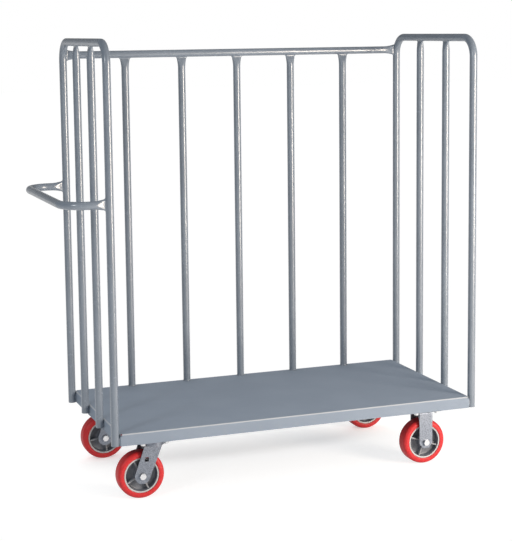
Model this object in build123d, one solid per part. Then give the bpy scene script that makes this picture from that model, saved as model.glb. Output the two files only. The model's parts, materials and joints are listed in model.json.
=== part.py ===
from build123d import *
from build123d.topology import SkipClean
import os
from math import hypot, atan2, degrees

os.makedirs("parts", exist_ok=True)

# Stock cart with two tubular end frames, a barred back, an open front and four casters.
# Millimetres. X runs along the deck, with the push handle at -X; Y runs from the open
# front to the barred back; Z is up. The origin is on the floor, under the middle of the
# whole cart, handle included.

# Tube stock of the frames, bars and handle
tube_od = 25.4
tube_wall = 2.1
tube_radius = tube_od / 2

# Tube ends pressed flat where they are welded to another tube
pinch_length = 36
pinch_width = 37.2
pinch_thickness = 6.2
waist_share = 0.58
waist_width_share = 0.42
waist_thickness_share = 0.36
waist_width = tube_od + (pinch_width - tube_od) * waist_width_share
waist_thickness = tube_od - (tube_od - pinch_thickness) * waist_thickness_share

# Folded steel deck
deck_length = 1219.2
deck_width = 609.6
deck_gauge = 2.7
deck_bend_radius = 4
deck_relief_radius = 5
skirt_depth = 38.1
load_area_gap = 1.4

# Frames above the deck
frame_rise = 1219.2
frame_bend_radius = 63.5
rail_drop = 45
end_bar_lift = 10
end_bar_count = 2
back_bar_count = 5

# Push handle
handle_height = 946
handle_reach = 139.7
handle_bend_radius = 76.2

# Channels under the deck
channel_edge = 19.05
channel_gauge = 4.8
channel_bend_radius = 8
stiffener_width = 50.8

# Places of the casters under the deck
swivel_inset = 120.65
swivel_lead = 41.3
rigid_inset = 146.05
caster_side_inset = 69.85

# Wheel
wheel_od = 152.4
wheel_crown_gap = 17.55
tread_width = 50.8
tread_depth = 19
tread_shoulder_radius = 12
tread_base_radius = 1.5
rim_width = 46.8
rim_face_width = 5.7
rim_draft = 2
web_thickness = 8
hub_radius = 21
hub_draft = 2
rib_count = 4
rib_thickness = 5
rib_setback = 4
bearing_radius = 15.1

# Axle
axle_radius = 6.35
axle_clearance = 0.15
bushing_radius = 9.5
bearing_shell = 1.5
roller_clearance = 0.04
roller_count = 10
roller_setback = 6
washer_gauge = 1.6
washer_radius = 17
hub_gap = 0.3
axle_head_flats = 19
axle_head_height = 8
axle_nut_height = 11
axle_thread_out = 3

# Forks
fork_gap = 60.3
fork_gauge = 4.8
fork_bend_radius = 10
fork_eye_radius = 25
swivel_fork_back = 31
swivel_fork_front = 27
window_width = 12.7
window_height = 14
window_rise = 53
window_forward = 14.7
gusset_depth = 14
gusset_drop = 24
rigid_fork_width = 48
rigid_tip_width = 24
rigid_tip_drop = 19
rigid_chamfer_drop = 3

# Caster plates and their bolts
bolt_spacing = 76.2
plate_end_edge = 19.05
plate_side_edge = 12.7
plate_gauge = 6.35
plate_corner_radius = 9
slot_run_x = 7.9
slot_run_y = 4.8
bolt_radius = 4.76
bolt_clearance = 0.4
bolt_head_flats = 14.3
bolt_head_height = 6
bolt_thread_out = 1.5
lock_washer_radius = 7.9
lock_washer_gauge = 2
lock_washer_split = 1.2
mounting_nut_height = 8

# Swivel bearing
race_radius = 33
race_outer_radius = 43
upper_race_gauge = 5.5
race_face_radius = 39
race_lip = 1.6
race_gap = 2.4
ball_radius = 3.97
ball_count = 20
ball_clearance = 0.05
crown_gauge = 6.3
crown_radius = 40
kingpin_radius = 7.9
kingpin_clearance = 0.06
kingpin_nut_flats = 27
kingpin_nut_height = 10
kingpin_nut_gap = 0.3
kingpin_thread_out = 2

# Bright hexagons have their corners turned off by this share of their width
hex_corner_share = 0.06

# How far a cutting shape runs past what it cuts
overrun = 5

# Places worked out from the sizes above
deck_x = handle_reach / 2
channel_width = bolt_spacing + 2 * channel_edge
plate_length = bolt_spacing + 2 * plate_end_edge
plate_width = bolt_spacing + 2 * plate_side_edge
swivel_stack = plate_gauge + upper_race_gauge + race_gap + crown_gauge
caster_height = wheel_od + wheel_crown_gap + swivel_stack
skirt_bottom = caster_height
deck_top = skirt_bottom + skirt_depth
leg_x = deck_length / 2 + tube_radius
leg_y = deck_width / 2 - tube_radius
top_axis = deck_top + frame_rise - tube_radius
rail_axis = top_axis - rail_drop
back_bar_pitch = deck_length / (back_bar_count + 1)
load_area_back = leg_y - tube_radius - load_area_gap
wheel_radius = wheel_od / 2
rim_radius = wheel_radius - tread_depth
plate_bottom = caster_height - plate_gauge
race_face = plate_bottom - upper_race_gauge
crown_top = race_face - race_gap
crown_bottom = crown_top - crown_gauge
fork_half = fork_gap / 2 + fork_gauge
hub_half = fork_gap / 2 - washer_gauge - hub_gap
swivel_x = deck_x - deck_length / 2 + swivel_inset
rigid_x = deck_x + deck_length / 2 - rigid_inset
caster_y = deck_width / 2 - caster_side_inset

# Each corner: caster centre, wheel centre behind it, whether it swivels, and how far its
# wheel has turned, in degrees
corners = {
    "front_left": (swivel_x, -caster_y, swivel_lead, True, 30),
    "rear_left": (swivel_x, caster_y, swivel_lead, True, 8),
    "front_right": (rigid_x, -caster_y, 0, False, 72),
    "rear_right": (rigid_x, caster_y, 0, False, 50),
}

on_floor = (Align.CENTER, Align.CENTER, Align.MIN)
hung = (Align.CENTER, Align.CENTER, Align.MAX)


def pinch(start, inset):
    """Loft from round to flat along the plane's z, wide along its x; inset makes it the bore."""
    waist = Ellipse(waist_width / 2 - inset, waist_thickness / 2 - inset)
    end = Ellipse(pinch_width / 2 - inset, pinch_thickness / 2 - inset)
    middle_plane = start.offset(pinch_length * waist_share)
    end_plane = start.offset(pinch_length)
    return loft([start * Circle(tube_radius - inset), middle_plane * waist, end_plane * end])


def flat_ended_tube(start, length, both_ends=False):
    """Tube along the plane's z whose far end, or both ends, are pressed flat along its x."""

    def skin(inset):
        first = start.offset(pinch_length) if both_ends else start
        last = start.offset(length - pinch_length)
        run = (last.origin - first.origin).length
        body = extrude(first * Circle(tube_radius - inset), run) + pinch(last, inset)
        if both_ends:
            body += pinch(Plane(first.origin, x_dir=first.x_dir, z_dir=-first.z_dir), inset)
        return body

    return skin(0) - skin(tube_wall)


def bent_tube(path, start):
    """Tube swept along a path of runs and tangent arcs, from the plane at its start."""
    return sweep(start * Circle(tube_radius), path) - sweep(start * Circle(tube_radius - tube_wall), path)


def folded_deck():
    """Pan folded down on four sides, its corners welded up to the relief holes at their tops."""

    def block(inset, radius):
        size = (deck_length - 2 * inset, deck_width - 2 * inset, skirt_depth - inset)
        solid = Pos(deck_x, 0, skirt_bottom) * Box(*size, align=on_floor)
        return fillet(solid.edges().group_by(Axis.Z)[-1] + solid.edges().filter_by(Axis.Z), radius)

    corner_x = deck_length / 2 - deck_bend_radius
    corner_y = deck_width / 2 - deck_bend_radius
    reliefs = [
        Pos(deck_x + sx * corner_x, sy * corner_y, deck_top - deck_bend_radius) * Sphere(deck_relief_radius)
        for sx in (-1, 1)
        for sy in (-1, 1)
    ]
    return block(0, deck_bend_radius) - block(deck_gauge, deck_bend_radius - deck_gauge) - reliefs


def marked_deck():
    """The deck with the back of its load area marked by an edge, just before the bars' feet."""
    pan = folded_deck()
    line = Plane.XZ.offset(-load_area_back)
    front, rear = [split(pan, line, keep=side) for side in (Keep.TOP, Keep.BOTTOM)]
    with SkipClean():
        return front + rear


def cross_channel(centre_x, width):
    """Channel across the cart under the deck: web down, level with the skirt, flanges up."""
    length = deck_width - 2 * deck_bend_radius
    height = skirt_depth - deck_gauge

    def block(inset, radius):
        place = Pos(centre_x, 0, skirt_bottom + inset)
        solid = place * Box(width - 2 * inset, length, height - inset, align=on_floor)
        return fillet(solid.edges().filter_by(Axis.Y).group_by(Axis.Z)[0], radius)

    return block(0, channel_bend_radius) - block(channel_gauge, channel_bend_radius - channel_gauge)


def bolt_spots():
    """The four bolt places of a caster plate, from its centre."""
    return [(sx * bolt_spacing / 2, sy * bolt_spacing / 2) for sx in (-1, 1) for sy in (-1, 1)]


def caster_channel(centre_x):
    """Cross channel with the bolt holes of its two casters."""
    holes = [
        Pos(centre_x + x, side * caster_y + y, skirt_bottom)
        * Cylinder(bolt_radius + bolt_clearance, 2 * (channel_gauge + overrun))
        for side in (-1, 1)
        for x, y in bolt_spots()
    ]
    return cross_channel(centre_x, channel_width) - holes


def end_frame(side):
    """Inverted U welded to the outside of an end skirt; side is -1 at the handle."""
    x = deck_x + side * leg_x
    path = FilletPolyline(
        (x, -leg_y, skirt_bottom),
        (x, -leg_y, top_axis),
        (x, leg_y, top_axis),
        (x, leg_y, skirt_bottom),
        radius=frame_bend_radius,
    )
    return bent_tube(path, Plane((x, -leg_y, skirt_bottom)))


def end_bar(side, y):
    """Upright inside an end frame, pressed flat under the top tube."""
    bottom = skirt_bottom + end_bar_lift
    start = Plane((deck_x + side * leg_x, y, bottom), x_dir=(0, 1, 0), z_dir=(0, 0, 1))
    return flat_ended_tube(start, top_axis - tube_radius - bottom)


def top_rail():
    """Straight rail between the rear legs, both ends pressed flat, standing tall."""
    start = Plane((deck_x - deck_length / 2, leg_y, rail_axis), x_dir=(0, 0, 1), z_dir=(1, 0, 0))
    return flat_ended_tube(start, deck_length, both_ends=True)


def back_bar(x):
    """Upright from the deck's rear edge to the rail, pressed flat along the rail."""
    start = Plane((x, leg_y, deck_top))
    return flat_ended_tube(start, rail_axis - tube_radius - deck_top)


def push_handle():
    """U-shaped handle whose flattened ends are welded to the legs of the left end frame."""
    weld_x = deck_x - leg_x - tube_radius
    arm_x = weld_x - pinch_length
    bar_x = deck_x - leg_x - handle_reach
    path = FilletPolyline(
        (arm_x, leg_y, handle_height),
        (bar_x, leg_y, handle_height),
        (bar_x, -leg_y, handle_height),
        (arm_x, -leg_y, handle_height),
        radius=handle_bend_radius,
    )

    def skin(inset):
        start = Plane((arm_x, leg_y, handle_height), x_dir=(0, 0, 1), z_dir=(-1, 0, 0))
        body = sweep(start * Circle(tube_radius - inset), path)
        for side in (-1, 1):
            end = Plane((arm_x, side * leg_y, handle_height), x_dir=(0, 0, 1), z_dir=(1, 0, 0))
            body += pinch(end, inset)
        return body

    return skin(0) - skin(tube_wall)


def hexagon(flats, height):
    """Hexagonal block on z = 0 with its upper corners turned off."""
    corner = flats * hex_corner_share
    turned = Cylinder(flats / 2 + corner, height, align=on_floor)
    turned = chamfer(turned.edges().group_by(Axis.Z)[-1], corner)
    return extrude(RegularPolygon(flats / 2, 6, major_radius=False), height) & turned


def wheel_place(corner):
    """Plane at a wheel's centre whose z is the axle's direction, towards the back."""
    x, y, lead = corners[corner][:3]
    return Plane((x - lead, y, wheel_radius), x_dir=(1, 0, 0), z_dir=(0, 1, 0))


def tread():
    """Cast tread with round shoulders, about the z axis."""
    depth = wheel_radius - rim_radius
    profile = Plane.XZ * Pos(rim_radius + depth / 2, 0) * Rectangle(depth, tread_width)
    profile = fillet(profile.vertices().group_by(Axis.X)[-1], tread_shoulder_radius)
    profile = fillet(profile.vertices().group_by(Axis.X)[0], tread_base_radius)
    return revolve(profile, Axis.Z)


def wheel_core(turn):
    """Moulded core: rim, web, hub and four ribs through the web; turn is in degrees."""
    rim_inside = rim_radius - rim_face_width
    half_profile = [
        (bearing_radius, hub_half),
        (hub_radius, hub_half),
        (hub_radius + hub_draft, web_thickness / 2),
        (rim_inside - rim_draft, web_thickness / 2),
        (rim_inside, rim_width / 2),
        (rim_radius, rim_width / 2),
    ]
    mirrored = [(r, -h) for r, h in reversed(half_profile)]
    section = Plane.XZ * make_face(Polyline(*half_profile, *mirrored, close=True))
    rib_length = rim_inside - hub_radius
    rib = Box(rib_length, rib_thickness, rim_width - 2 * rib_setback)
    ribs = [
        Rot(0, 0, turn + index * 360 / rib_count) * Pos(hub_radius + rib_length / 2, 0, 0) * rib
        for index in range(rib_count)
    ]
    return revolve(section, Axis.Z) + ribs


def roller_bearing():
    """Thin steel shell pressed into the hub, with rollers that run on the bushing."""
    shell_bore = bearing_radius - bearing_shell
    shell = Cylinder(bearing_radius, 2 * hub_half) - Cylinder(shell_bore, 2 * hub_half)
    roller_radius = (shell_bore - bushing_radius) / 2 - roller_clearance
    circle_radius = (shell_bore + bushing_radius) / 2
    roller = Cylinder(roller_radius, 2 * (hub_half - roller_setback))
    return Part() + [shell] + [spot * roller for spot in PolarLocations(circle_radius, roller_count)]


def axle_bolt():
    """Hexagon-headed bolt along z, its head on the -z side of the fork."""
    length = 2 * fork_half + axle_nut_height + axle_thread_out
    shank = Pos(0, 0, -fork_half) * Cylinder(axle_radius, length, align=on_floor)
    head = Pos(0, 0, -fork_half) * Rot(180, 0, 0) * hexagon(axle_head_flats, axle_head_height)
    return shank + head


def axle_nut():
    """Nut on the +z side of the fork."""
    block = hexagon(axle_head_flats, axle_nut_height) - Cylinder(axle_radius, 2 * axle_nut_height + overrun)
    return Pos(0, 0, fork_half) * block


def bushing():
    """Spanner bushing clamped between the fork legs, on which the wheel runs."""
    return Cylinder(bushing_radius, fork_gap) - Cylinder(axle_radius + axle_clearance, fork_gap)


def axle_washers():
    """One thrust washer against each fork leg, round the bushing."""
    ring = Cylinder(washer_radius, washer_gauge) - Cylinder(bushing_radius + axle_clearance, washer_gauge)
    offset = (fork_gap - washer_gauge) / 2
    return Part() + [Pos(0, 0, side * offset) * ring for side in (-1, 1)]


def side_prism(outline):
    """Outline drawn in x and z, carried across the whole fork."""
    return extrude(Plane.XZ * outline, fork_half + overrun, both=True)


def bent_strap(top, gauge, back, front):
    """Steel strap bent down on both sides of the wheel, with gussets in its two corners."""
    low = wheel_radius - fork_eye_radius - overrun
    length = back + front
    middle = (front - back) / 2
    under = top - gauge

    def block(half, height, radius):
        solid = Pos(middle, 0, low) * Box(length + 2 * swivel_lead, 2 * half, height, align=on_floor)
        return fillet(solid.edges().filter_by(Axis.X).group_by(Axis.Z)[-1], radius)

    outer = block(fork_half, top - low, fork_bend_radius)
    inner = block(fork_gap / 2, under - low, fork_bend_radius - fork_gauge)
    strap = outer - inner
    for side in (-1, 1):
        inside = side * fork_gap / 2
        corner = Polyline(
            (inside, under),
            (inside - side * gusset_depth, under),
            (inside, under - gusset_drop),
            close=True,
        )
        for x in (-back, front - fork_gauge):
            gusset_plane = Plane((x, 0, 0), x_dir=(0, 1, 0), z_dir=(1, 0, 0))
            strap += extrude(gusset_plane * make_face(corner), fork_gauge)
    return strap


def axle_hole(x):
    """Hole for the axle bolt through both legs of a fork."""
    place = Plane((x, 0, wheel_radius), x_dir=(1, 0, 0), z_dir=(0, 1, 0))
    return place * Cylinder(axle_radius + axle_clearance, 2 * (fork_half + overrun))


def swivel_fork():
    """Raked fork: bent strap trimmed to a tapering leg round the axle, with its ball race."""
    eye = Pos(-swivel_lead, wheel_radius) * Circle(fork_eye_radius)
    crown_edge = Line((-swivel_fork_back, crown_top), (swivel_fork_front, crown_top))
    outline = make_hull([*eye.edges(), crown_edge])
    strap = bent_strap(crown_top, crown_gauge, swivel_fork_back, swivel_fork_front)
    fork = strap & side_prism(outline)
    fork += Pos(0, 0, crown_top) * Cylinder(crown_radius, crown_gauge, align=hung)
    window_place = Pos(window_forward - swivel_lead, 0, wheel_radius + window_rise)
    fork -= window_place * Box(window_width, 2 * (fork_half + overrun), window_height)
    fork -= Pos(0, 0, crown_top) * Cylinder(kingpin_radius + kingpin_clearance, 2 * (crown_gauge + overrun))
    fork -= ball_groove()
    return fork - axle_hole(-swivel_lead)


def ball_groove():
    """Ring that cuts the ball track into both races."""
    return Pos(0, 0, race_face - race_gap / 2) * Torus(race_radius, ball_radius + ball_clearance)


def swivel_balls():
    """Balls between the two races."""
    ring = Pos(0, 0, race_face - race_gap / 2)
    return Part() + [ring * spot * Sphere(ball_radius) for spot in PolarLocations(race_radius, ball_count)]


def drilled_plate():
    """Caster plate with its four slanting slots."""
    plate = Pos(0, 0, plate_bottom) * Box(plate_length, plate_width, plate_gauge, align=on_floor)
    plate = fillet(plate.edges().filter_by(Axis.Z), plate_corner_radius)
    near = bolt_spacing / 2
    run = hypot(slot_run_x, slot_run_y)
    slant = -degrees(atan2(slot_run_y, slot_run_x))
    slot = SlotCenterToCenter(run, 2 * (bolt_radius + bolt_clearance), rotation=slant)
    spot = Pos(near + slot_run_x / 2, near - slot_run_y / 2, plate_bottom - overrun)
    cut = extrude(spot * slot, plate_gauge + 2 * overrun)
    cuts = [cut, mirror(cut, Plane.XZ), mirror(cut, Plane.YZ), Rot(0, 0, 180) * cut]
    return plate - cuts


def swivel_plate():
    """Top plate with the upper ball race pressed under it."""
    race = Pos(0, 0, plate_bottom) * Cylinder(race_outer_radius, upper_race_gauge + race_lip, align=hung)
    race -= Pos(0, 0, race_face) * Cylinder(race_face_radius, 2 * race_lip, align=hung)
    bore = Pos(0, 0, plate_bottom) * Cylinder(kingpin_radius, 2 * (plate_gauge + upper_race_gauge))
    return drilled_plate() + race - bore - ball_groove()


def kingpin():
    """Pin fixed in the top plate, on which the fork turns."""
    bottom = crown_bottom - kingpin_nut_gap - kingpin_nut_height - kingpin_thread_out
    pin = Cylinder(kingpin_radius, caster_height - bottom, align=on_floor)
    return Pos(0, 0, bottom) * chamfer(pin.edges().group_by(Axis.Z)[0], kingpin_thread_out / 2)


def kingpin_nut():
    """Nut that holds the fork up on the kingpin."""
    block = hexagon(kingpin_nut_flats, kingpin_nut_height)
    block -= Cylinder(kingpin_radius, 2 * kingpin_nut_height + overrun)
    return Pos(0, 0, crown_bottom - kingpin_nut_gap) * Rot(180, 0, 0) * block


def rigid_fork():
    """Fixed fork: straight legs with tapered tips, welded to a slotted plate."""
    half = rigid_fork_width / 2
    tip = rigid_tip_width / 2
    outline = make_face(
        Polyline(
            (-half, plate_bottom),
            (-half, wheel_radius - rigid_chamfer_drop),
            (-tip, wheel_radius - rigid_tip_drop),
            (tip, wheel_radius - rigid_tip_drop),
            (half, wheel_radius - rigid_chamfer_drop),
            (half, plate_bottom),
            close=True,
        )
    )
    strap = bent_strap(plate_bottom, fork_gauge, half, half) & side_prism(outline)
    return drilled_plate() + strap - axle_hole(0)


def mounting_bolt():
    """Bolt driven up through lock washer, plate and channel into its nut."""
    length = lock_washer_gauge + plate_gauge + channel_gauge + mounting_nut_height + bolt_thread_out
    bottom = plate_bottom - lock_washer_gauge
    shank = Pos(0, 0, bottom) * Cylinder(bolt_radius, length, align=on_floor)
    return shank + Pos(0, 0, bottom) * Rot(180, 0, 0) * hexagon(bolt_head_flats, bolt_head_height)


def lock_washer():
    """Split ring under a bolt's head."""
    ring = Cylinder(lock_washer_radius, lock_washer_gauge, align=hung)
    through = 2 * (lock_washer_gauge + overrun)
    ring -= Cylinder(bolt_radius + bolt_clearance, through)
    ring -= Pos(lock_washer_radius, 0, 0) * Box(lock_washer_radius, lock_washer_split, through)
    return Pos(0, 0, plate_bottom) * ring


def mounting_nut():
    """Nut welded to the top of the channel's web."""
    block = hexagon(bolt_head_flats, mounting_nut_height)
    block -= Cylinder(bolt_radius, 2 * mounting_nut_height + overrun)
    return Pos(0, 0, skirt_bottom + channel_gauge) * block


def at_every_bolt(piece):
    """The same fastener at each bolt of each caster."""
    return Part() + [
        Pos(x + bolt_x, y + bolt_y, 0) * piece
        for x, y, *_ in corners.values()
        for bolt_x, bolt_y in bolt_spots()
    ]


def frame_nodes():
    """Deck, channels, end frames, bars, rail and handle."""
    nodes = {
        "deck": marked_deck(),
        "left_caster_channel": caster_channel(swivel_x),
        "right_caster_channel": caster_channel(rigid_x),
        "deck_stiffener": cross_channel((swivel_x + rigid_x) / 2, stiffener_width),
        "left_end_frame": end_frame(-1),
        "right_end_frame": end_frame(1),
        "top_rail": top_rail(),
        "push_handle": push_handle(),
    }
    bar_pitch = 2 * leg_y / (end_bar_count + 1)
    for name, side in (("left", -1), ("right", 1)):
        for index in range(end_bar_count):
            nodes[f"{name}_end_bar_{index + 1}"] = end_bar(side, -leg_y + (index + 1) * bar_pitch)
    for index in range(back_bar_count):
        x = deck_x + (index - (back_bar_count - 1) / 2) * back_bar_pitch
        nodes[f"back_bar_{index + 1}"] = back_bar(x)
    return nodes


def fastener_nodes():
    """Bolts, lock washers and nuts that hold the caster plates to the channels."""
    return {
        "mounting_bolts": at_every_bolt(mounting_bolt()),
        "mounting_lock_washers": at_every_bolt(lock_washer()),
        "mounting_nuts": at_every_bolt(mounting_nut()),
    }


def caster_nodes(corner):
    """Every piece of one caster."""
    x, y, _, swivels, turn = corners[corner]
    place = Pos(x, y, 0)
    axle = wheel_place(corner)
    nodes = {
        "wheel_tread": axle * tread(),
        "wheel_core": axle * wheel_core(turn),
        "roller_bearing": axle * roller_bearing(),
        "axle_bolt": axle * axle_bolt(),
        "axle_nut": axle * axle_nut(),
        "axle_washers": axle * axle_washers(),
        "bushing": axle * bushing(),
        "fork": place * (swivel_fork() if swivels else rigid_fork()),
    }
    if swivels:
        nodes["top_plate"] = place * swivel_plate()
        nodes["kingpin"] = place * kingpin()
        nodes["kingpin_nut"] = place * kingpin_nut()
        nodes["swivel_balls"] = place * swivel_balls()
    return {f"{corner}_{name}": solid for name, solid in nodes.items()}


pieces = {**frame_nodes(), **fastener_nodes()}
for corner in corners:
    pieces.update(caster_nodes(corner))
for name, solid in pieces.items():
    export_step(solid, f"parts/{name}.step")
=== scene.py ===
# %% [markdown]
# # A stock cart for a warehouse
# The cart is a folded steel deck on four casters. Round tubes stand round three of its
# sides, and a bent tube at the left end is the push handle. Deck and tubes wear satin grey
# enamel, so the picture lives on soft light along the tubes, on tidy welds and on the four
# red wheels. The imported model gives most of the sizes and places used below.

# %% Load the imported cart
import json

import bmesh
import bpy
import numpy as np
from mathutils import Matrix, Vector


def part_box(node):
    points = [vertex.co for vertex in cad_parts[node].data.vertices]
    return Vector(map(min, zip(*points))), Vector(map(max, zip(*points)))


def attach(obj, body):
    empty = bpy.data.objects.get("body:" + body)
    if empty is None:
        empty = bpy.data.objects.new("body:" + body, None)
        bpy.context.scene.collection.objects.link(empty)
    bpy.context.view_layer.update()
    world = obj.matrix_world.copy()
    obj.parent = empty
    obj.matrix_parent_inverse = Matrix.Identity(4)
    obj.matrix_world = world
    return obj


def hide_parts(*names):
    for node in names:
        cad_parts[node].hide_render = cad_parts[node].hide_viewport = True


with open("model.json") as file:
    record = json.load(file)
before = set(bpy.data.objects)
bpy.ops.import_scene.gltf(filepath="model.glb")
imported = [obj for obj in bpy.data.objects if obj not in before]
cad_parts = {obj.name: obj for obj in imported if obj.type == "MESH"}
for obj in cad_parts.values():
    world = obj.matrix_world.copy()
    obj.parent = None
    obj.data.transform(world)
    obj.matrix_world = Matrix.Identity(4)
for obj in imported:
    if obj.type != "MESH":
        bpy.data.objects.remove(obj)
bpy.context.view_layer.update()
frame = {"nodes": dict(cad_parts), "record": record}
nodes = frame["nodes"]
record = frame["record"]
bodies = record["behaviour"]["bodies"]
body_of = {node: body for body, members in bodies.items() for node in members}
slot_of = {part["node"]: part["material_slot"] for part in record["subparts"]}
print("nodes:", len(nodes), "bodies:", sorted(set(body_of.values())))

# %% [markdown]
# ## Reading sizes from the frame
# A scene that types its sizes twice goes wrong when one of them changes. Each node knows its
# own box, so a tube's radius is half the thickness of a node made of that tube, and its place
# is the middle of the box. What a box can't tell has to be typed, such as the gauges of tube
# and sheet and the radii of their bends.

# %% Sizes of the tubes and the deck
MM = 0.001
TUBE_WALL = 2.1 * MM
FRAME_BEND = 63.5 * MM
HANDLE_BEND = 76.2 * MM
DECK_SHEET = 2.7 * MM
DECK_BEND = 4 * MM


def span(node):
    """Lowest and highest corner of a node, as arrays in metres."""
    low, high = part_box(node)
    return np.array(low), np.array(high)


def middle(node):
    """Centre of a node's box."""
    low, high = span(node)
    return (low + high) / 2


left_low, left_high = span("left_end_frame")
deck_low, deck_high = span("deck")
tube_radius = (left_high[0] - left_low[0]) / 2
leg_y = left_high[1] - tube_radius
top_z = left_high[2] - tube_radius
left_x = middle("left_end_frame")[0]
right_x = middle("right_end_frame")[0]
print("tube radius", round(tube_radius, 4), "legs at", round(left_x, 4), round(right_x, 4))

# %% [markdown]
# ## From arrays to meshes
# Every new surface here is a grid: one direction runs along the shape and the other runs
# round it. Working the whole grid out at once with numpy keeps the formula in view, and one
# function turns any grid into a mesh. A grid that closes both ways, like a tyre, has no open
# edges at all, and the sign of its volume tells whether its faces point outwards.

# %% Grid to mesh
SHARP_ANGLE = np.radians(38)
SAME_POINT = 0.005 * MM
NO_WIDTH = 0.001 * MM


def grid_faces(rows, columns):
    """Quads between neighbouring points of a grid that closes on itself both ways."""
    i, j = np.meshgrid(np.arange(rows), np.arange(columns), indexing="ij")
    below, right = (i + 1) % rows, (j + 1) % columns
    quads = [i * columns + j, i * columns + right, below * columns + right, below * columns + j]
    return np.stack(quads, axis=-1).reshape(-1, 4)


def signed_volume(points, faces):
    """Volume inside closed quads, negative where they point inwards.

    A triangle a, b, c and the origin enclose a sixth of a . (b x c).
    """
    a, b, c, d = (points[faces[:, k]] for k in range(4))
    triples = np.einsum("ij,ij->i", a, np.cross(b, c)) + np.einsum("ij,ij->i", a, np.cross(c, d))
    return triples.sum() / 6


def mesh_of_grids(name, grids, values=None):
    """One mesh of several closed grids, faces outwards; values are numbers to keep at each point."""
    points, faces, start = [], [], 0
    for grid in grids:
        flat = grid.reshape(-1, 3)
        quads = grid_faces(*grid.shape[:2])
        if signed_volume(flat - flat.mean(axis=0), quads) < 0:
            quads = quads[:, ::-1]
        points.append(flat)
        faces.append(quads + start)
        start += len(flat)
    mesh = bpy.data.meshes.new(name)
    mesh.from_pydata(np.concatenate(points), [], np.concatenate(faces).tolist())
    for key, numbers in (values or {}).items():
        attribute = mesh.attributes.new(key, "FLOAT", "POINT")
        attribute.data.foreach_set("value", np.asarray(numbers, np.float32).ravel())
    mesh.shade_smooth()
    mesh.set_sharp_from_angle(angle=SHARP_ANGLE)
    return mesh


def merge_points(mesh, dissolve=0):
    """Joins points that coincide, drops faces without area, and joins faces flatter than an angle."""
    work = bmesh.new()
    work.from_mesh(mesh)
    bmesh.ops.remove_doubles(work, verts=work.verts, dist=SAME_POINT)
    bmesh.ops.dissolve_degenerate(work, edges=work.edges, dist=NO_WIDTH)
    if dissolve:
        bmesh.ops.dissolve_limit(work, angle_limit=dissolve, verts=work.verts, edges=work.edges)
    work.to_mesh(mesh)
    work.free()
    mesh.shade_smooth()
    mesh.set_sharp_from_angle(angle=SHARP_ANGLE)


def place_piece(mesh, body, material, stands_for=()):
    """Links a mesh as a piece that rides on a body, and hides the nodes that it stands for."""
    piece = bpy.data.objects.new(mesh.name, mesh)
    bpy.context.scene.collection.objects.link(piece)
    mesh.materials.clear()
    mesh.materials.append(material)
    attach(piece, body)
    if stands_for:
        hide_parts(*stands_for)
    return piece


# %% [markdown]
# ## Shader maths that reads like maths
# A node tree is a formula drawn as boxes. The small class below wraps an output socket, so
# that `0.4 + 0.1 * cloud` builds its Math nodes by itself. Its `node` method adds any node
# that isn't plain arithmetic.

# %% A socket with operators
def connect(shader, sockets):
    """Plugs wires into a node's sockets, or sets their values."""
    for key, value in sockets.items():
        if isinstance(value, Wire):
            value.tree.links.new(value.socket, shader.inputs[key])
        else:
            shader.inputs[key].default_value = value


class Wire:
    """An output socket of a node tree that can be added, subtracted and multiplied."""

    def __init__(self, tree, socket=None):
        self.tree = tree
        self.socket = socket

    def node(self, kind, sockets=(), output=0, **settings):
        """Adds a node: its settings are made first, then its sockets' values or links."""
        made = self.tree.nodes.new("ShaderNode" + kind)
        for key, value in settings.items():
            setattr(made, key, value)
        connect(made, dict(sockets))
        return Wire(self.tree, made.outputs[output])

    def maths(self, operation, *values):
        """Adds a Math node with the given values or wires as its inputs."""
        return self.node("Math", enumerate(values), operation=operation)

    def __add__(self, other):
        return self.maths("ADD", self, other)

    def __sub__(self, other):
        return self.maths("SUBTRACT", self, other)

    def __rsub__(self, other):
        return self.maths("SUBTRACT", other, self)

    def __mul__(self, other):
        return self.maths("MULTIPLY", self, other)

    __radd__ = __add__
    __rmul__ = __mul__

    def rise(self, low, high):
        """0 below low, 1 above high, and a smooth climb between them."""
        sockets = {"Value": self, "From Min": low, "From Max": high}
        return self.node("MapRange", sockets, interpolation_type="SMOOTHSTEP")

    def axes(self):
        """The three parts of a vector."""
        return [self.node("SeparateXYZ", {"Vector": self}, axis) for axis in "XYZ"]


def tint(mask, under, over):
    """Colour that goes from under to over as the mask goes from 0 to 1.

    A Mix node has several sockets of each name, so the ones for colours go by number.
    """
    return mask.node("Mix", {0: mask, 6: under, 7: over}, 2, data_type="RGBA")


def new_material(name):
    """Material with its Principled shader; returns both and a wire to build from."""
    material = bpy.data.materials.new(name)
    material.use_nodes = True
    return material, material.node_tree.nodes["Principled BSDF"], Wire(material.node_tree)


def noise(wire, scale, detail=3, roughness=0.5, stretch=None):
    """Noise over the object's own coordinates, from 0 to 1.

    scale is in waves per metre; with stretch, it multiplies the waves along X, Y and Z.
    """
    place = wire.node("TexCoord", output="Object")
    if stretch:
        place = wire.node("Mapping", {"Vector": place, "Scale": stretch})
    sockets = {"Vector": place, "Scale": scale, "Detail": detail, "Roughness": roughness}
    return wire.node("TexNoise", sockets)


def bump(height, distance):
    """Normal that leans as if the surface rose by height times distance, in metres."""
    return height.node("Bump", {"Height": height, "Distance": distance, "Strength": 1.0})
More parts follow.
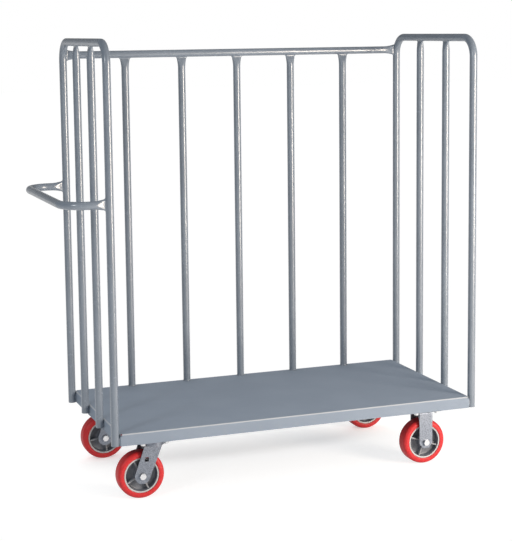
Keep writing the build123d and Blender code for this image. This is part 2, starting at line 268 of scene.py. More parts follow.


# %% [markdown]
# ## Satin grey paint
# Sprayed enamel on steel is never quite flat: it dries with a fine orange peel, gathers a
# little dust, and its gloss varies from one finger's width to the next. The colour barely
# changes. So the paint is one grey with a faint drift of tone, a roughness that varies, and
# two scales of bump. The deck's paint is rougher and duller, and its paler grey is painted
# sheen that stands in for the gloss it lacks. Its sheet waves a little, long thin marks from
# sliding cartons cross it, and a painted highlight, a bright line, runs along the folds at its
# edges.

# %% Paint for the tubes and the deck
PAINT_GREY = (0.143, 0.173, 0.214, 1)
PAINT_LIGHT = (0.167, 0.200, 0.245, 1)
PAINT_DUSTY = (0.265, 0.282, 0.302, 1)
# The paler grey of painted sheen, which the deck's paint moves towards.
PAINT_SHEEN_PALE = (0.253, 0.306, 0.384, 1)
# Painted highlight for the round folds along the deck's edges.
PAINT_FOLD_HIGHLIGHT = (0.44, 0.46, 0.48, 1)


def fold_highlight_mask(wire):
    """Mask of the painted highlight: 1 on the round folds along the deck's four edges, and 0 where
    each fold starts and ends.
    """
    x, y, z = wire.node("TexCoord", output="Object").axes()

    def bend(offset, edge):
        return offset.rise(edge - DECK_BEND, edge - 0.6 * DECK_BEND)

    centre, half = middle("deck"), (deck_high - deck_low) / 2
    ends = bend(wire.maths("ABSOLUTE", x - centre[0]), half[0])
    sides = bend(wire.maths("ABSOLUTE", y - centre[1]), half[1])
    return wire.maths("MAXIMUM", ends, sides) * bend(z, deck_high[2])


def grey_paint(name, rough=0.23, index=1.58, coat=0.4, sheen_share=0, marks=0):
    """Satin enamel with a base roughness, refractive index and coat.

    sheen_share is how far its greys go towards a paler grey, a painted sheen, and marks is
    how strongly long scuffs show, both from 0 to 1. Only paint with marks has the deck's waves
    and the painted highlight on its folds.
    """
    material, shader, wire = new_material(name)
    # Each grey moves towards the paler grey of painted sheen by the share given.
    grey, light, dusty = ([(1 - sheen_share) * own + sheen_share * pale for own, pale in zip(colour, PAINT_SHEEN_PALE)]
                          for colour in (PAINT_GREY, PAINT_LIGHT, PAINT_DUSTY))
    drift = noise(wire, 6, 4)
    peel = noise(wire, 700, 2)
    cloud = noise(wire, 60, 5, 0.6)
    dust = noise(wire, 420, 6, 0.75).rise(0.58, 0.8)
    colour = tint(drift.rise(0.3, 0.7), grey, light)
    colour = tint(dust * 0.3, colour, dusty)
    rough = rough + 0.07 * cloud + 0.08 * dust
    height = peel * 0.7 + cloud * 0.3
    if marks:
        along = noise(wire, 1, 5, 0.7, stretch=(3, 160, 1)).rise(0.56, 0.74)
        across = noise(wire, 1, 4, 0.7, stretch=(120, 5, 1)).rise(0.6, 0.76)
        scuffs = (along + across) * marks
        colour = tint(scuffs * 0.35, colour, PAINT_DUSTY)
        # Painted highlight: a bright line along the deck's folds.
        colour = tint(fold_highlight_mask(wire) * 0.7, colour, PAINT_FOLD_HIGHLIGHT)
        rough = rough + 0.1 * scuffs
        height = height + noise(wire, 5, 2) * 6
    connect(shader, {
        "Base Color": colour,
        "Roughness": rough,
        "IOR": index,
        "Coat Weight": coat,
        "Coat Roughness": 0.2,
        "Normal": bump(height, 0.03 * MM),
    })
    return material


tube_paint = grey_paint("satin_grey_paint")
# The deck's paler grey is painted sheen for the gloss it lacks.
deck_paint = grey_paint("deck_paint", rough=0.59, index=1.22, coat=0, sheen_share=0.5, marks=0.5)

# %% [markdown]
# ## Zinc, steel, plastic and tread
# The forks are stamped from zinc-plated sheet: dull, faintly mottled metal. Bolts and nuts
# have a brighter plate. The wheel's core is moulded plastic, dark grey with a paler grey on
# the face of its rim and the tops of its ribs, and the tread is cast red elastomer with a
# slightly duller running face.

# %% Finishes of the casters
ZINC_DULL = (0.143, 0.163, 0.200, 1), (0.266, 0.295, 0.346, 1)
ZINC_BRIGHT = (0.62, 0.63, 0.65, 1), (0.78, 0.79, 0.80, 1)
STEEL_GROUND = (0.46, 0.46, 0.47, 1), (0.58, 0.58, 0.59, 1)
CORE_DARK = (0.102, 0.112, 0.134, 1), (0.145, 0.157, 0.184, 1)
CORE_PALE = (0.43, 0.44, 0.45, 1)
TREAD_RED = (0.45, 0.016, 0.020, 1), (0.53, 0.024, 0.027, 1)
TREAD_SCUFFED = (0.36, 0.055, 0.06, 1)


def plated(name, tones, rough, mottle):
    """Plated steel: two tones mottled at a scale in waves per metre, with fine grain in the gloss."""
    material, shader, wire = new_material(name)
    patches = noise(wire, mottle, 5, 0.65)
    grain = noise(wire, 1500, 3, 0.6, stretch=(1, 1, 0.15))
    stain = noise(wire, 45, 4, 0.6).rise(0.45, 0.75)
    connect(shader, {
        "Base Color": tint(patches.rise(0.3, 0.7), *tones),
        "Roughness": rough + 0.14 * patches + 0.08 * stain,
        "Metallic": 0.9,
        "Normal": bump(grain + 0.6 * patches, 0.02 * MM),
    })
    return material


def core_plastic():
    """Moulded plastic: dark grey, going to a paler grey as the kept value named pale goes to 1."""
    material, shader, wire = new_material("moulded_core")
    pale = wire.node("Attribute", output="Fac", attribute_name="pale")
    grain = noise(wire, 900, 3)
    cloud = noise(wire, 90, 4)
    dark = tint(cloud.rise(0.3, 0.7), *CORE_DARK)
    connect(shader, {
        "Base Color": tint(pale * (0.86 + 0.14 * cloud), dark, CORE_PALE),
        "Roughness": 0.30 + 0.16 * cloud,
        "Normal": bump(grain, 0.03 * MM),
    })
    return material


def red_tread():
    """Cast elastomer: even red and glossy, duller where the kept value named worn is 1."""
    material, shader, wire = new_material("red_tread")
    worn = wire.node("Attribute", output="Fac", attribute_name="worn")
    cloud = noise(wire, 120, 5, 0.6)
    grain = noise(wire, 1400, 2)
    scuffs = noise(wire, 1, 4, 0.7, stretch=(60, 700, 60)).rise(0.55, 0.75) * worn
    colour = tint(cloud.rise(0.3, 0.75), *TREAD_RED)
    connect(shader, {
        "Base Color": tint(scuffs * 0.35, colour, TREAD_SCUFFED),
        "Roughness": 0.36 + 0.12 * cloud + 0.12 * worn,
        "IOR": 1.4,
        "Normal": bump(grain + 2 * cloud, 0.03 * MM),
    })
    return material


finishes = {
    "frame_paint": tube_paint,
    "deck_paint": deck_paint,
    "caster_zinc": plated("dull_zinc", ZINC_DULL, 0.4, 240),
    "fastener_zinc": plated("bright_zinc", ZINC_BRIGHT, 0.22, 500),
    "bearing_steel": plated("ground_steel", STEEL_GROUND, 0.2, 900),
    "core_grey": core_plastic(),
    "tread_red": red_tread(),
}
print("finishes:", sorted(finishes))

# %% [markdown]
# ## The section of a pressed tube
# Where one tube meets the side of another, its end is pressed flat in a die instead of being
# cut to a saddle. Pressing doesn't stretch the wall, so the distance round the section stays
# that of the round tube. Two half circles of the new half depth, joined by two flats, use up
# exactly that distance when each flat is pi times the lost half depth.

# %% Pressed section
SEGMENTS = 48
PRESS_LENGTH = 36 * MM
PRESSED_HALF = 3.1 * MM
PRESS_EASE = 1.6


def pressed_section(half_depth, inset, segments=SEGMENTS):
    """Wide and deep coordinates round the section, one row for each half depth.

    Distance round the section is folded into its first quarter: an arc of the half depth as
    far as a quarter turn, then the flat. inset moves the point inwards along the normal.
    """
    half_depth = np.atleast_1d(half_depth)[:, None]
    quarter = np.pi * tube_radius / 2
    along = np.arange(segments) * 4 * quarter / segments
    folded = quarter - np.abs(along % (2 * quarter) - quarter)
    wide_sign = np.where((along > quarter) & (along < 3 * quarter), -1, 1)
    deep_sign = np.where(along > 2 * quarter, -1, 1)
    flat = np.pi * (tube_radius - half_depth) / 2
    angle = np.minimum(folded / half_depth, np.pi / 2)
    past_arc = np.maximum(folded - np.pi * half_depth / 2, 0)
    wide = flat - past_arc + (half_depth - inset) * np.cos(angle)
    deep = (half_depth - inset) * np.sin(angle)
    return wide_sign * wide, deep_sign * deep


def pressed_depth(distance):
    """Half depth at a distance from a pressed end; the loss eases in over the pressed length."""
    share = np.clip(1 - distance / PRESS_LENGTH, 0, 1)
    return tube_radius - (tube_radius - PRESSED_HALF) * share ** PRESS_EASE


# %% [markdown]
# ## Tubes along a path
# A bent tube is a section carried along straight runs joined by arcs. The path gives a point
# and a direction for every row of the grid. The bore is the same grid with the wall's
# thickness taken off, run backwards, so each tube closes on itself through its open ends.

# %% Paths and tube grids
def bent_path(corners, bend=0, step=4):
    """Points and directions along runs joined by tangent arcs, with an arc point every few degrees."""
    corners = np.array(corners, float)
    runs = np.diff(corners, axis=0)
    units = runs / np.linalg.norm(runs, axis=1, keepdims=True)
    points, directions = [corners[:1]], [units[:1]]
    for before, after, corner in zip(units[:-1], units[1:], corners[1:-1]):
        turn = np.arccos(np.clip(before @ after, -1, 1))
        side = after - before * (before @ after)
        side /= np.linalg.norm(side)
        centre = corner - before * bend * np.tan(turn / 2) + side * bend
        angles = np.linspace(0, turn, int(np.degrees(turn) / step) + 1)[:, None]
        points.append(centre + bend * (np.sin(angles) * before - np.cos(angles) * side))
        directions.append(np.cos(angles) * before + np.sin(angles) * side)
    points.append(corners[-1:])
    directions.append(units[-1:])
    return np.concatenate(points), np.concatenate(directions)


def with_press_rows(points, directions, rows=16):
    """Adds closely spaced rows over the pressed length at the end of a path."""
    share = np.linspace(0, 1, rows)[:-1, None]
    extra = points[-1] - directions[-1] * PRESS_LENGTH * (1 - share)
    points = np.concatenate([points[:-1], extra, points[-1:]])
    return points, np.concatenate([directions, np.repeat(directions[-1:], rows - 1, axis=0)])


def tube_grid(corners, wide_axis, bend=0, pressed_ends=0):
    """Hollow tube through corners, its last end or both pressed flat, with the width on wide_axis."""
    points, directions = bent_path(corners, bend)
    if pressed_ends > 0:
        points, directions = with_press_rows(points, directions)
    if pressed_ends > 1:
        points, directions = with_press_rows(points[::-1], -directions[::-1])
        points, directions = points[::-1], -directions[::-1]
    steps = np.linalg.norm(np.diff(points, axis=0), axis=1)
    distance = np.concatenate([[0], np.cumsum(steps)])
    to_end = distance[-1] - distance if pressed_ends else distance + PRESS_LENGTH
    if pressed_ends > 1:
        to_end = np.minimum(to_end, distance)
    half_depth = pressed_depth(to_end)
    deep_axis = np.cross(directions, wide_axis)[:, None, :]
    shells = []
    for inset in (0, TUBE_WALL):
        wide, deep = pressed_section(half_depth, inset)
        shells.append(points[:, None, :] + wide[..., None] * wide_axis + deep[..., None] * deep_axis)
    return np.concatenate([shells[0], shells[1][::-1]])


# %% [markdown]
# ## Frames, bars, rail and handle
# The two end frames are upside-down U shapes. The bars stand inside them and along the back,
# each pressed flat where it meets the tube above. The rail and the handle are pressed at both
# ends, with the flat standing upright against the legs.

# %% Tubes of the cart
X_AXIS, Y_AXIS, Z_AXIS = np.eye(3)


def frame_piece(name, grid, node):
    """Painted tube that stands for one node of the frame."""
    place_piece(mesh_of_grids(name, [grid]), body_of[node], tube_paint, [node])


for side, x in (("left", left_x), ("right", right_x)):
    corners = [(x, -leg_y, left_low[2]), (x, -leg_y, top_z),
               (x, leg_y, top_z), (x, leg_y, left_low[2])]
    frame_piece(f"{side}_frame_tube", tube_grid(corners, X_AXIS, FRAME_BEND), f"{side}_end_frame")

back_bars = [f"back_bar_{n}" for n in range(1, 6)]
end_bars = [f"{side}_end_bar_{n}" for side in ("left", "right") for n in (1, 2)]
for node in back_bars + end_bars:
    low, high = span(node)
    x, y, _ = middle(node)
    wide_axis = X_AXIS if node in back_bars else Y_AXIS
    corners = [(x, y, low[2]), (x, y, high[2])]
    frame_piece(node + "_tube", tube_grid(corners, wide_axis, pressed_ends=1), node)

rail_low, rail_high = span("top_rail")
_, rail_y, rail_z = middle("top_rail")
corners = [(rail_low[0], rail_y, rail_z), (rail_high[0], rail_y, rail_z)]
frame_piece("top_rail_tube", tube_grid(corners, Z_AXIS, pressed_ends=2), "top_rail")

handle_low, handle_high = span("push_handle")
handle_z = middle("push_handle")[2]
joint_x, bar_x = handle_high[0], handle_low[0] + tube_radius
corners = [(joint_x, leg_y, handle_z), (bar_x, leg_y, handle_z),
           (bar_x, -leg_y, handle_z), (joint_x, -leg_y, handle_z)]
handle_grid = tube_grid(corners, Z_AXIS, HANDLE_BEND, pressed_ends=2)
frame_piece("push_handle_tube", handle_grid, "push_handle")
print("tubes made:", 2 + len(back_bars) + len(end_bars) + 2)

# %% [markdown]
# ## Welds under the paint
# A weld on thin tube is a small concave fillet with faint ripples. Its section is a curve
# that leaves one surface, bends towards the corner and lands on the other. The fillet follows
# the outline of the pressed end, and its outer edge lies on the round tube that carries it.
# Round feet on the deck, the upright seams beside its skirts and its four inner corners get
# the same kind of curve.

# %% Fillets
WELD_SEGMENTS = 120
PRESSED_WELD_CLIMB = 6 * MM
PRESSED_WELD_REACH = 4.2 * MM
FOOT_WELD_REACH = 3.2 * MM
CORNER_WELD_REACH = 12 * MM
SEAM_FOOT = 2 * MM
SEAM_TOP = deck_high[2] - 11 * MM
SINK = 0.1 * MM
THIN_SINK = 0.05 * MM


def fillet_rows(start, corner, end, inside, rows=7):
    """Rows from start, bending towards corner, to end, closed by a hidden row inside."""
    t = np.linspace(0, 1, rows)[:, None, None]
    curve = (1 - t) ** 2 * start + 2 * t * (1 - t) * corner + t ** 2 * end
    return np.concatenate([curve, inside[None]])


def ripple(count, size, height=0.14 * MM):
    """Small waves along a weld, five points to a wave, as a change of size."""
    return size + height * np.cos(np.arange(count) * 2 * np.pi / 5)


def pressed_end_weld(joint, away, wide_axis, lean=None):
    """Fillet round a pressed end that meets a round tube running along wide_axis.

    away points from the joint to the pressed tube. The carrier's surface lies at
    sqrt(r^2 - d^2) - r for a point at a distance d from its middle line; lean gives that
    distance where the carrier is bent.
    """
    deep_axis = np.cross(away, wide_axis)

    def loop(distance, inset, lift):
        wide, deep = pressed_section(pressed_depth(distance), inset, WELD_SEGMENTS)
        points = joint + wide[0][:, None] * wide_axis + deep[0][:, None] * deep_axis
        if distance > 0:
            return points + distance * away
        off = lean(points) if lean else deep[0]
        off = np.clip(off, -0.97 * tube_radius, 0.97 * tube_radius)
        return points + (np.sqrt(tube_radius ** 2 - off ** 2) - tube_radius + lift)[:, None] * away

    start = loop(PRESSED_WELD_CLIMB, SINK, 0)
    corner = loop(0, -0.5 * MM, 0.5 * MM)
    end = loop(0, -ripple(WELD_SEGMENTS, PRESSED_WELD_REACH), -SINK)
    inside = loop(0, 1 * MM, -1.5 * MM)
    return fillet_rows(start, corner, end, inside)


def foot_weld(centre):
    """Fillet round the foot of an upright tube on the deck, down over the fold behind it."""
    around = np.linspace(0, 2 * np.pi, WELD_SEGMENTS, endpoint=False)
    outward = np.stack([np.cos(around), np.sin(around), 0 * around], 1)
    reach = ripple(WELD_SEGMENTS, FOOT_WELD_REACH)[:, None]
    wall = centre + outward * tube_radius
    start = wall - outward * SINK + Z_AXIS * reach
    corner = wall + 0.3 * MM * (outward + Z_AXIS)
    end = wall + outward * reach - Z_AXIS * THIN_SINK
    for row in (corner, end):
        row[:, 1] = np.minimum(row[:, 1], deck_high[1] - SINK)
    past = np.clip(end[:, 1] - (deck_high[1] - DECK_BEND), 0, DECK_BEND)
    end[:, 2] += np.sqrt(DECK_BEND ** 2 - past ** 2) - DECK_BEND
    return fillet_rows(start, corner, end, wall - 1 * MM * (outward + Z_AXIS))


def upright_fillet(root, start, corner, end, low, high):
    """Fillet carried upwards from low to high, with its root line hidden in the steel.

    Both ends taper to a point: the width goes with the square root of 1 - h^8, where h runs
    from -1 to 1 over the height.
    """
    count = int((high - low) / (0.6 * MM))
    along = np.linspace(-1, 1, count)[:, None]
    grow = np.sqrt(1 - along ** 8) * ripple(count, 1, 0.04)[:, None]
    height = (low + (high - low) * (along + 1) / 2) * Z_AXIS
    rows = [root + grow * (place - root) + height for place in (start, corner, end)]
    return fillet_rows(*rows, root + height)


def seam_weld(x, y, outward, side, low, high):
    """Upright fillet in the crevice between a tube and a skirt; outward and side say where it lies."""
    def at(angle, on_skirt):
        turn = np.radians(angle)
        off = 0 if on_skirt else tube_radius * (1 - np.cos(turn))
        return np.array([x - outward * (tube_radius - off), y + side * tube_radius * np.sin(turn), 0])

    root, end = at(20, True), at(41, True)
    start, corner = at(50, False), at(38, False)
    return upright_fillet(root, start, corner, end, low, high)


def corner_weld(along_x, along_y):
    """Fillet inside a corner of the folded deck; the signs say which corner."""
    half = (deck_high - deck_low) / 2 - DECK_SHEET
    inward = np.array([-along_x, -along_y, 0])
    inside = (middle("deck") - inward * half) * (X_AXIS + Y_AXIS)
    x_way, y_way = inward * X_AXIS, inward * Y_AXIS
    root = inside - inward * 0.5 * MM
    start = inside + x_way * CORNER_WELD_REACH - y_way * THIN_SINK
    corner = inside + inward * 4 * MM
    end = inside + y_way * CORNER_WELD_REACH - x_way * THIN_SINK
    return upright_fillet(root, start, corner, end, deck_low[2] + SEAM_FOOT, deck_high[2] - DECK_SHEET)


# %% All the welds of the frame
def along_bend(points):
    """Distance of points from the middle line of the rear leg, which bends over into the top tube."""
    bend_y, bend_z = leg_y - FRAME_BEND, top_z - FRAME_BEND
    bent = np.hypot(points[:, 1] - bend_y, points[:, 2] - bend_z) - FRAME_BEND
    return np.where(points[:, 2] > bend_z, bent, points[:, 1] - leg_y)


welds = []
for node in back_bars + end_bars:
    x, y, _ = middle(node)
    wide_axis = X_AXIS if node in back_bars else Y_AXIS
    carrier_z = rail_z if node in back_bars else top_z
    welds.append(pressed_end_weld(np.array([x, y, carrier_z - tube_radius]), -Z_AXIS, wide_axis))
for node in back_bars:
    x, y, _ = middle(node)
    welds.append(foot_weld(np.array([x, y, deck_high[2]])))
for x, away in ((left_x + tube_radius, X_AXIS), (right_x - tube_radius, -X_AXIS)):
    welds.append(pressed_end_weld(np.array([x, rail_y, rail_z]), away, Z_AXIS, along_bend))
for y in (-leg_y, leg_y):
    welds.append(pressed_end_weld(np.array([left_x - tube_radius, y, handle_z]), -X_AXIS, Z_AXIS))
for end_name, outward, x in (("left", -1, left_x), ("right", 1, right_x)):
    feet = [(y, deck_low[2]) for y in (-leg_y, leg_y)]
    for node in (f"{end_name}_end_bar_{n}" for n in (1, 2)):
        feet.append((middle(node)[1], max(span(node)[0][2], deck_low[2])))
    for y, foot in feet:
        welds += [seam_weld(x, y, outward, side, foot + SEAM_FOOT, SEAM_TOP) for side in (-1, 1)]
welds += [corner_weld(along_x, along_y) for along_x in (-1, 1) for along_y in (-1, 1)]
weld_mesh = mesh_of_grids("frame_welds", welds)
merge_points(weld_mesh)
place_piece(weld_mesh, "cart_frame", tube_paint)
print("welds made:", len(welds))

# %% [markdown]
# ## Red treads
# A tread is one profile turned round the axle: a nearly flat running face, round shoulders,
# straight sides and a small turned-in edge where it meets the core. A fine line round the
# middle shows where the two halves of its mould met.

# %% Tread
WHEELS = ["front_left", "rear_left", "front_right", "rear_right"]
WHEEL_STEPS = 128
FACE_STEPS = 15
SHOULDER_STEPS = 12
FOOT_STEPS = 4
SHOULDER_RADIUS = 12 * MM
FOOT_RADIUS = 1.5 * MM
CROWN = 0.35 * MM
MOULD_LINE_HEIGHT = 0.12 * MM
MOULD_LINE_WIDTH = 0.8 * MM


def arc(centre, radius, start, end, steps):
    """Points on a circle from one angle to another, in degrees."""
    turn = np.radians(np.linspace(start, end, steps))
    return np.array(centre) + radius * np.stack([np.cos(turn), np.sin(turn)], 1)


def tread_profile(outer, inner, half):
    """Closed outline as pairs of radius and place along the axle, with how worn each point is."""
    run = np.linspace(-1, 1, FACE_STEPS)[:, None] * (half - SHOULDER_RADIUS)
    face = np.hstack([outer - CROWN * (run / half) ** 2, run])
    line = MOULD_LINE_HEIGHT * np.exp(-(run[:, 0] / MOULD_LINE_WIDTH) ** 2)
    face[:, 0] += line - line.max()
    edge, side = outer - CROWN - SHOULDER_RADIUS, half - SHOULDER_RADIUS
    near = arc((edge, -side), SHOULDER_RADIUS, -90, -8, SHOULDER_STEPS)
    far = arc((edge, side), SHOULDER_RADIUS, 8, 90, SHOULDER_STEPS)
    foot, side = inner + FOOT_RADIUS, half - FOOT_RADIUS
    far_foot = arc((foot, side), FOOT_RADIUS, 90, 180, FOOT_STEPS)
    near_foot = arc((foot, -side), FOOT_RADIUS, 180, 270, FOOT_STEPS)
    outline = np.concatenate([near, face, far, far_foot, near_foot])
    fade = np.linspace(0, 1, SHOULDER_STEPS) ** 3
    worn = np.concatenate([fade, np.ones(FACE_STEPS), fade[::-1], np.zeros(2 * FOOT_STEPS)])
    return outline, worn


def turned(outline, centre):
    """Outline of radius and place along Y, carried round an axle at a centre."""
    around = np.linspace(0, 2 * np.pi, WHEEL_STEPS, endpoint=False)[:, None]
    radius, along = outline[:, 0], outline[:, 1]
    x = radius * np.cos(around)
    z = radius * np.sin(around)
    return np.stack([x, np.broadcast_to(along, x.shape), z], -1) + centre


def half_sizes(node):
    """Radius of a round piece on a level axle, and half its width."""
    low, high = span(node)
    return (high[2] - low[2]) / 2, (high[1] - low[1]) / 2


for wheel in WHEELS:
    node = f"{wheel}_wheel_tread"
    outer, half = half_sizes(node)
    outline, worn = tread_profile(outer, half_sizes(f"{wheel}_wheel_core")[0], half)
    grid = turned(outline, middle(node))
    mesh = mesh_of_grids(f"{wheel}_red_tread", [grid], {"worn": np.tile(worn, WHEEL_STEPS)})
    place_piece(mesh, body_of[node], finishes["tread_red"], [node])
print("treads made:", len(WHEELS))

# %% [markdown]
# ## Ribbed cores
# A moulded core is a height over its disc: high at the hub and the rim, low on the web
# between, and part way up along each rib. The ribs have straight sides, so the grid's columns
# bend: near a rib a column keeps its distance from the rib's middle line, and the columns
# between two ribs share out the rest of the angle. Wheels stop anywhere, so each core has a
# turn of its own.

# %% Core
RIB_COUNT = 4
RIB_OFFSETS = np.array([-5, -3.8, -3.1, -2.75, -2.5, -2.1, 2.1, 2.5, 2.75, 3.1, 3.8, 5]) * MM
RIB_SHARES = np.array([0, 0.03, 0.1, 0.3, 0.94, 1, 1, 0.94, 0.3, 0.1, 0.03, 0])
RIB_HEIGHT = 19.4 * MM
RIB_PALENESS = 0.35
RIM_HALF = 23.4 * MM
RIM_WIDTH = 5.7 * MM
POCKET_COLUMNS = 16
WHEEL_TURNS = {"front_left": 63, "rear_left": 80, "front_right": 20, "rear_right": 50}


def core_profile(rim_radius, hub_half):
    """Radius and height from the bore to the rim: hub, fillet, web, fillet, rim wall and rim face."""
    hub_face, wall_foot = hub_half / MM, rim_radius - RIM_WIDTH
    hub = [(15.1, hub_face - 1), (16, hub_face), (20.2, hub_face), (20.9, hub_face - 0.7)]
    web = [(22.2, 10), (22.8, 6.6), (24.2, 4.8), (26.5, 4), (34, 4), (41, 4)]
    wall = [(-5.2, 4), (-3.2, 4.7), (-2.1, 6.4), (-1.6, 9), (-0.2, 22.4), (0.3, 23.1)]
    rim = [(wall_foot + 1 * MM, RIM_HALF), (rim_radius - 0.8 * MM, RIM_HALF),
           (rim_radius, RIM_HALF - 1 * MM)]
    return np.concatenate([np.array(hub + web) * MM, np.array(wall) * MM + [wall_foot, 0], rim])


def core_grid(node, turn):
    """Grid of a core, and how pale each point is; the back face is the front one mirrored."""
    profile = core_profile(*half_sizes(node))
    radius, height = profile[:, :1], profile[:, 1:]
    rib_angles = np.arcsin(RIB_OFFSETS / radius)
    gap = 2 * np.pi / RIB_COUNT - 2 * rib_angles[:, -1:]
    between = rib_angles[:, -1:] + gap * np.linspace(0, 1, POCKET_COLUMNS + 2)[1:-1]
    sector = np.hstack([rib_angles, between])
    sectors = [sector + k * 2 * np.pi / RIB_COUNT for k in range(RIB_COUNT)]
    angle = np.hstack(sectors) + np.radians(turn)
    share = np.tile(np.concatenate([RIB_SHARES, np.zeros(POCKET_COLUMNS)]), RIB_COUNT)
    raised = height + share * np.maximum(RIB_HEIGHT - height, 0)
    x, z = radius * np.cos(angle), -radius * np.sin(angle)
    front = np.stack([x, -raised, z], -1)
    back = np.stack([x, raised, z], -1)[::-1]
    on_rim = (radius > profile[-3, 0] - 0.4 * MM) * np.ones_like(raised)
    on_rib = np.where((share > 0.9) & (height < RIB_HEIGHT), RIB_PALENESS, 0)
    pale = np.maximum(on_rim, on_rib)
    return np.concatenate([front, back]) + middle(node), np.concatenate([pale, pale[::-1]])


for wheel in WHEELS:
    node = f"{wheel}_wheel_core"
    grid, pale = core_grid(node, WHEEL_TURNS[wheel])
    mesh = mesh_of_grids(f"{wheel}_ribbed_core", [grid], {"pale": pale})
    place_piece(mesh, body_of[node], finishes["core_grey"], [node])
print("cores made:", len(WHEELS))

# %% [markdown]
# ## Stamped and machined pieces
# The forks, plates, channels, axle bolts and larger nuts already have their right shape in
# the model. Real sheet and bar never end in a razor edge, though, and a thin bright line
# along each edge is what makes steel look like steel. So each gets a copy: its loose
# triangles are merged, flat areas are joined, and a Bevel modifier rounds the edges.

# %% Softened edges
FLAT_ANGLE = np.radians(0.4)
BEVEL_ANGLE = np.radians(40)
EDGE_WIDTHS = {
    "_fork": 0.8,
    "_top_plate": 0.7,
    "_kingpin_nut": 0.4,
    "_axle_bolt": 0.4,
    "_axle_nut": 0.4,
    "_caster_channel": 0.5,
    "deck_stiffener": 0.5,
}


def softened(node, width):
    """Copy of a node with merged points, joined flats and edges rounded to a width in metres."""
    mesh = nodes[node].data.copy()
    mesh.name = f"{node}_finished"
    if "custom_normal" in mesh.attributes:
        mesh.attributes.remove(mesh.attributes["custom_normal"])
    merge_points(mesh, FLAT_ANGLE)
    piece = place_piece(mesh, body_of[node], finishes[slot_of[node]], [node])
    bevel = piece.modifiers.new("edges", "BEVEL")
    bevel.width = width
    bevel.segments = 2
    bevel.limit_method = "ANGLE"
    bevel.angle_limit = BEVEL_ANGLE
    bevel.harden_normals = True


softened_nodes = [(node, width) for node in sorted(nodes) for ending, width in EDGE_WIDTHS.items()
                  if node.endswith(ending)]
for node, width in softened_nodes:
    softened(node, width * MM)
print("edges softened on", len(softened_nodes), "pieces")

# %% [markdown]
# ## Finishes for what stays
# The other nodes keep their own meshes and only take a finish: the deck, and the small bolts,
# washers and bearings. Each node's material slot says which one.

# %% Materials on the remaining nodes
for node, thing in nodes.items():
    for place in thing.material_slots:
        place.material = finishes[slot_of[node]]

# %% [markdown]
# ## Camera
# The photograph was taken from the front left, at about the height of the cart's top and some
# five metres away, which keeps the upright tubes almost parallel. The lens is shifted down a
# little, as a view camera's would be, so that the uprights lean less.

# %% Camera at the photographer's place
PHOTO_HEIGHT = 541
FOCAL_PIXELS = 1457.1
SHIFT_PIXELS = -60
CAMERA_OFFSET = (-1.7233, -4.5756, 1.4727)
YAW, PITCH, ROLL = np.radians([20.19, -7.12, -0.646])
camera_data = bpy.data.cameras.new("camera")
camera_data.lens = FOCAL_PIXELS * camera_data.sensor_width / PHOTO_HEIGHT
camera_data.shift_y = SHIFT_PIXELS / PHOTO_HEIGHT
camera_data.clip_end = 100
camera = bpy.data.objects.new("camera", camera_data)
bpy.context.scene.collection.objects.link(camera)
bpy.context.scene.camera = camera
ahead = np.array([np.sin(YAW) * np.cos(PITCH), np.cos(YAW) * np.cos(PITCH), np.sin(PITCH)])
level_right = np.array([np.cos(YAW), -np.sin(YAW), 0])
level_up = np.cross(level_right, ahead)
right = np.cos(ROLL) * level_right + np.sin(ROLL) * level_up
up = np.cross(right, ahead)
turn = Matrix(np.column_stack([right, up, -ahead]).tolist()).to_4x4()
place = np.array(CAMERA_OFFSET) + [middle("deck")[0], 0, 0]
camera.matrix_world = Matrix.Translation(place) @ turn
print("lens", round(camera_data.lens, 2), "mm")

# %% [markdown]
# ## Floor and background
# A catalogue picture is white all round, with only a soft shadow under the cart. So the floor
# is white by a light of its own. Only the camera, rays through glass and, close to the cart,
# glossy surfaces see it, and it lights nothing else. Under the cart that light is weaker and
# matt paint takes over, so the shadow shows there. The floor's underside lets rays through,
# so that the cart can be looked at from below.

# %% Floor
FLOOR_HALF = 30
FLOOR_MATT = (0.85, 0.85, 0.85, 1)
FLOOR_BLACK = (0, 0, 0, 1)
floor_mesh = bpy.data.meshes.new("floor")
floor_corners = [(x * FLOOR_HALF, y * FLOOR_HALF, 0) for x, y in ((-1, -1), (1, -1), (1, 1), (-1, 1))]
floor_mesh.from_pydata(floor_corners, [], [(0, 1, 2, 3)])
floor = bpy.data.objects.new("floor", floor_mesh)
bpy.context.scene.collection.objects.link(floor)


def rays(wire, kind):
    """1 for light rays of one kind, 0 for the others."""
    return wire.node("LightPath", output=f"Is {kind} Ray")


def background_rays(wire, paper):
    """1 for rays from the camera and through glass, paper for glossy rays, 0 for the rest."""
    return rays(wire, "Camera") + rays(wire, "Transmission") + rays(wire, "Glossy") * paper


floor_paint, floor_shader, wire = new_material("white_floor")
place = wire.node("TexCoord", output="Object")


def within(centre, radii, fade):
    """1 inside an ellipse on the floor, falling to 0 at fade times its radii."""
    scale = (1 / radii[0], 1 / radii[1], 1)
    shift = (-centre[0] / radii[0], -centre[1] / radii[1], 0)
    spot = wire.node("Mapping", {"Vector": place, "Location": shift, "Scale": scale})
    return 1 - wire.node("VectorMath", {0: spot}, "Value", operation="LENGTH").rise(1, fade)


under_cart = within((0, 0), (0.7, 0.38), 1.4)
towards_back = within((0, 0.32), (0.6, 0.17), 1.8)
shaded = under_cart * (0.4 + 0.6 * towards_back)
seen = background_rays(wire, within((0, 0), (1.2, 1.2), 2))
connect(floor_shader, {
    "Base Color": tint(seen * (1 - shaded), FLOOR_MATT, FLOOR_BLACK),
    "Roughness": 0.85 + 0.1 * noise(wire, 12, 4),
    "Specular IOR Level": 0.2,
    "Alpha": 1 - wire.node("NewGeometry", output="Backfacing"),
    "Emission Color": seen * (1 - 0.55 * shaded),
    "Emission Strength": 1.0,
})
floor_mesh.materials.append(floor_paint)

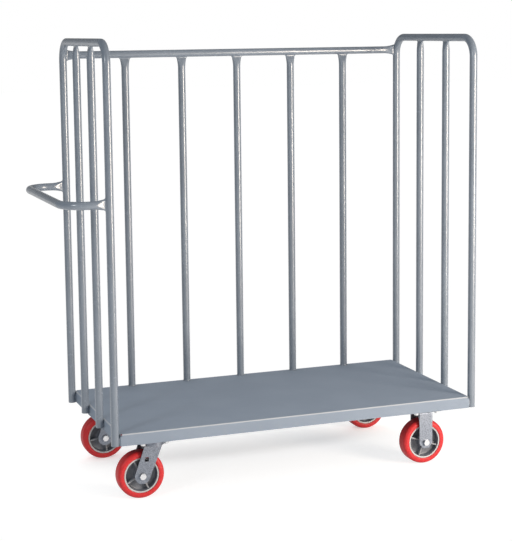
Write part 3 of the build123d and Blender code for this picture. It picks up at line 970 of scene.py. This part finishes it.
# %% [markdown]
# The background is the same white for the camera. Glossy surfaces see it only where a sheet
# of paper would stand, behind the cart and up to just above the horizon, and a dim grey
# elsewhere. Matt surfaces get that grey, and more light from behind and from above, as in a
# white room.

# %% Background
WORLD_LIGHT = 0.17
LIGHT_FROM_BEHIND = 0.28
LIGHT_FROM_ABOVE = 0.7
world = bpy.data.worlds.new("studio")
bpy.context.scene.world = world
world.use_nodes = True
wire = Wire(world.node_tree)
to_right, to_back, upward = wire.node("TexCoord", output="Generated").axes()
paper = (0.34 * to_right + 0.94 * to_back).rise(0.8, 0.95) * (1 - upward.rise(0, 0.2))
room = LIGHT_FROM_BEHIND * to_back.rise(-0.2, 0.6) + LIGHT_FROM_ABOVE * upward.rise(0.1, 0.9)
studio = WORLD_LIGHT + room * rays(wire, "Diffuse")
colour = studio + (1 - studio) * background_rays(wire, paper)
connect(world.node_tree.nodes["Background"], {"Color": colour, "Strength": 1.0})

# %% [markdown]
# ## Lamps
# The tubes show a warm line near their right side and a weaker, cooler one near their left.
# So a tall, warm panel stands to the right of the cart, low enough to shine on the lower ends
# of the tubes, and a small, cool one hangs further off to the left. The Standard view keeps
# the white of the paper as it is.

# %% Softboxes
def softbox(name, place, aim, size, power, colour):
    """Rectangular lamp at a place, turned towards a point."""
    data = bpy.data.lights.new(name, "AREA")
    data.shape = "RECTANGLE"
    data.size, data.size_y = size
    data.energy = power
    data.color = colour
    lamp = bpy.data.objects.new(name, data)
    bpy.context.scene.collection.objects.link(lamp)
    away = Matrix.Translation(place).translation - Matrix.Translation(aim).translation
    lamp.matrix_world = Matrix.Translation(place) @ away.to_track_quat("Z", "Y").to_matrix().to_4x4()


softbox("right_panel", (2.0, -2.75, 1.1), aim=(0, 0, 1.0), size=(1.1, 1.75),
        power=146, colour=(1, 0.88, 0.76))
softbox("left_panel", (-3.4, -2.4, 2.3), aim=(0, 0, 0.5), size=(0.7, 1.2),
        power=38, colour=(0.95, 0.98, 1))
bpy.context.scene.view_settings.view_transform = "Standard"
